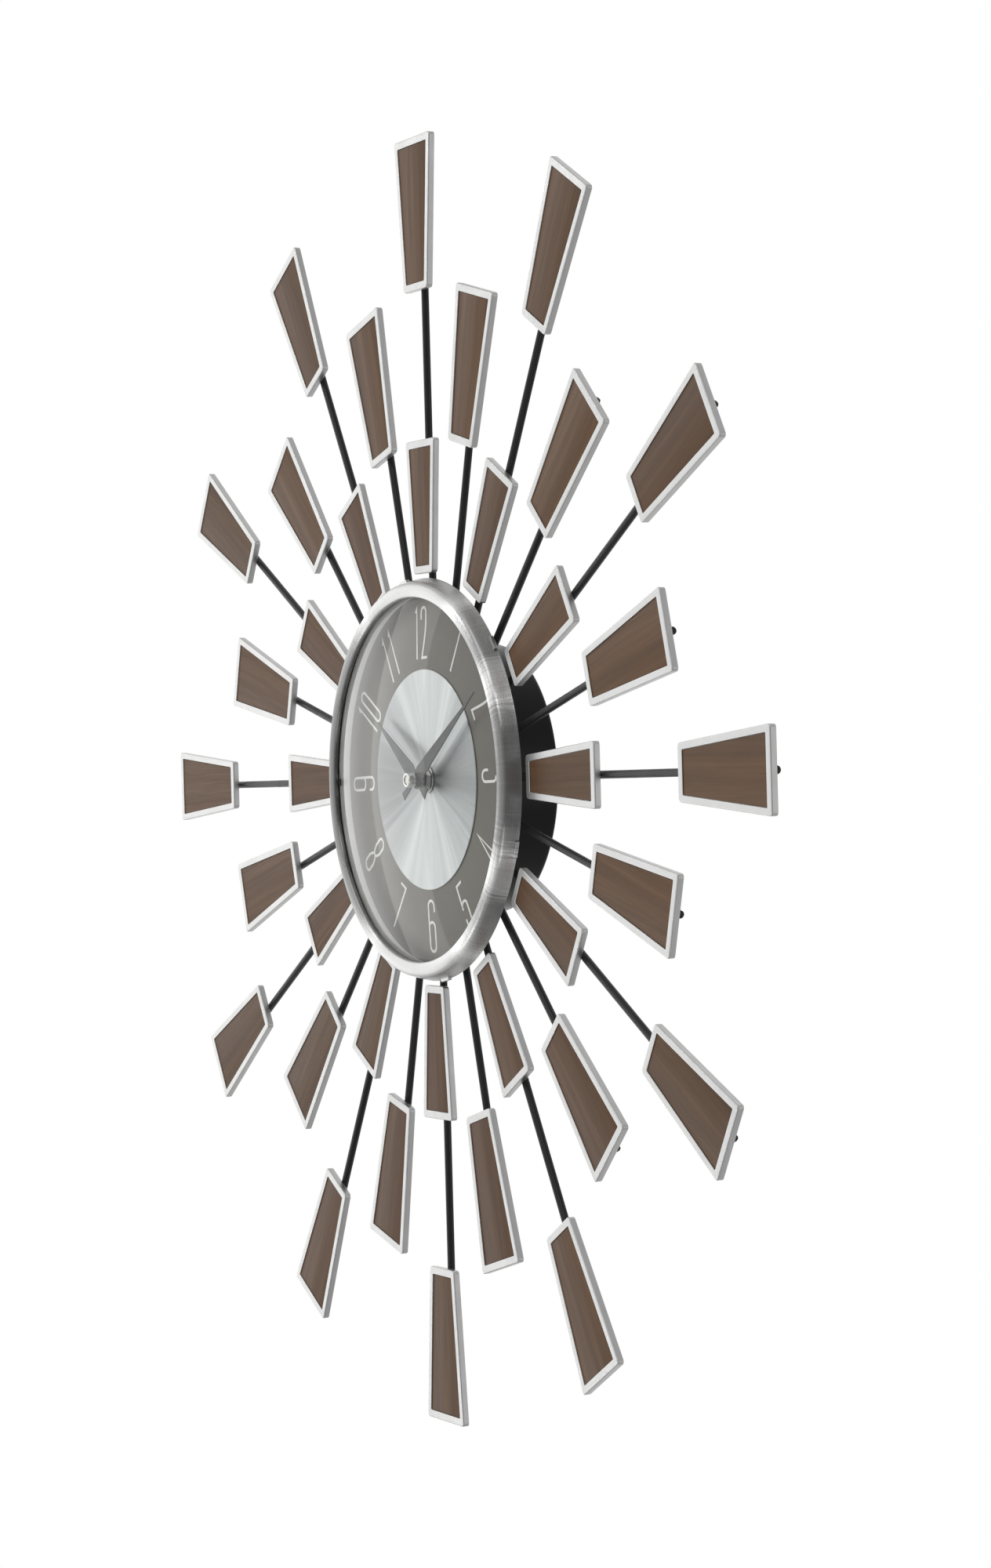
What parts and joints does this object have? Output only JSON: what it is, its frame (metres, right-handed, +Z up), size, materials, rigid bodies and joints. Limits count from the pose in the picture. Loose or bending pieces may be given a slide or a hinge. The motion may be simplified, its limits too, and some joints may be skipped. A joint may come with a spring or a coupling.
{
  "type": "sunburst wall clock",
  "caption": "Round analogue wall clock with radiating rods that carry wood-faced metal paddles, a domed lens and a quartz movement in a rear drum.",
  "frame": {"origin": "on the hands' axis, in the plane of the wall, at the middle of the rear cover's back face", "axes": "+Z up to 12 o'clock, +X to 3 o'clock, -Y out of the dial towards the viewer, +Y into the wall"},
  "size_m": [0.6096, 0.0528, 0.6096],
  "materials": {
    "satin_aluminium": "satin, brushed lengthwise",
    "walnut": "oiled walnut, satin",
    "polished_aluminium": "fine circular brushing, bright",
    "satin_black": "satin",
    "gloss_black": "gloss",
    "pan_grey": "semi-matt",
    "cover_board": "matt",
    "lens_glass": "clear",
    "dial_taupe": "metallic satin",
    "dial_spun": "spun",
    "nickel": "plated",
    "hand_grey": "satin",
    "movement_black": "matt",
    "cell_jacket": "printed film",
    "white_acetal": "natural",
    "brass": "turned",
    "copper_winding": "enamelled wire",
    "circuit_green": "solder mask",
    "rubber": "matt"
  },
  "bodies": {
    "case": {"spoke_frame": "satin_black", "case_drum": "gloss_black", "rear_cover": "cover_board", "dial_pan": "pan_grey", "bezel": "polished_aluminium", "lens": "lens_glass", "dial_plate": "dial_taupe", "dial_centre": "dial_spun", "dial_nut": "nickel", "dial_washer": "nickel", "movement_case": "movement_black", "movement_back": "movement_black", "battery": "cell_jacket", "mount_gasket": "rubber", "circuit_board": "circuit_green", "stepper_coil": "copper_winding", "plate_inner_00": "satin_aluminium", "plate_inner_02": "satin_aluminium", "plate_inner_04": "satin_aluminium", "plate_inner_06": "satin_aluminium", "plate_inner_08": "satin_aluminium", "plate_inner_10": "satin_aluminium", "plate_inner_12": "satin_aluminium", "plate_inner_14": "satin_aluminium", "plate_inner_16": "satin_aluminium", "plate_inner_18": "satin_aluminium", "plate_inner_20": "satin_aluminium", "plate_inner_22": "satin_aluminium", "plate_outer_00": "satin_aluminium", "plate_outer_02": "satin_aluminium", "plate_outer_04": "satin_aluminium", "plate_outer_06": "satin_aluminium", "plate_outer_08": "satin_aluminium", "plate_outer_10": "satin_aluminium", "plate_outer_12": "satin_aluminium", "plate_outer_14": "satin_aluminium", "plate_outer_16": "satin_aluminium", "plate_outer_18": "satin_aluminium", "plate_outer_20": "satin_aluminium", "plate_outer_22": "satin_aluminium", "plate_middle_01": "satin_aluminium", "plate_middle_03": "satin_aluminium", "plate_middle_05": "satin_aluminium", "plate_middle_07": "satin_aluminium", "plate_middle_09": "satin_aluminium", "plate_middle_11": "satin_aluminium", "plate_middle_13": "satin_aluminium", "plate_middle_15": "satin_aluminium", "plate_middle_17": "satin_aluminium", "plate_middle_19": "satin_aluminium", "plate_middle_21": "satin_aluminium", "plate_middle_23": "satin_aluminium"},
    "minute_work": {"minute_hand": "hand_grey", "cap_nut": "nickel", "centre_arbor": "brass"},
    "hour_work": {"hour_hand": "hand_grey", "hour_wheel": "white_acetal"},
    "motion_work": {"motion_wheel": "white_acetal"},
    "third_work": {"third_wheel": "white_acetal"},
    "knob": {"setting_knob": "white_acetal"}
  },
  "joints": [
    {"name": "minute_turn", "type": "hinge", "parent": "case", "child": "minute_work", "pos_m": [0, -0.0352, 0], "axis": [0, 1, 0], "continuous": true},
    {"name": "hour_turn", "type": "hinge", "parent": "case", "child": "hour_work", "pos_m": [0, -0.0352, 0], "axis": [0, 1, 0], "continuous": true},
    {"name": "motion_turn", "type": "hinge", "parent": "case", "child": "motion_work", "pos_m": [0.00983, -0.0202, 0.00688], "axis": [0, 1, 0], "continuous": true},
    {"name": "third_turn", "type": "hinge", "parent": "case", "child": "third_work", "pos_m": [-0.01178, -0.0202, 0.0068], "axis": [0, 1, 0], "continuous": true},
    {"name": "knob_turn", "type": "hinge", "parent": "case", "child": "knob", "pos_m": [0.02111, -0.0202, 0.00278], "axis": [0, 1, 0], "continuous": true}
  ],
  "couplings": [
    {"joint": "hour_turn", "follows": "minute_turn", "ratio": 0.083333},
    {"joint": "motion_turn", "follows": "minute_turn", "ratio": -0.33333},
    {"joint": "third_turn", "follows": "minute_turn", "ratio": -7.5},
    {"joint": "knob_turn", "follows": "minute_turn", "ratio": 1}
  ]
}
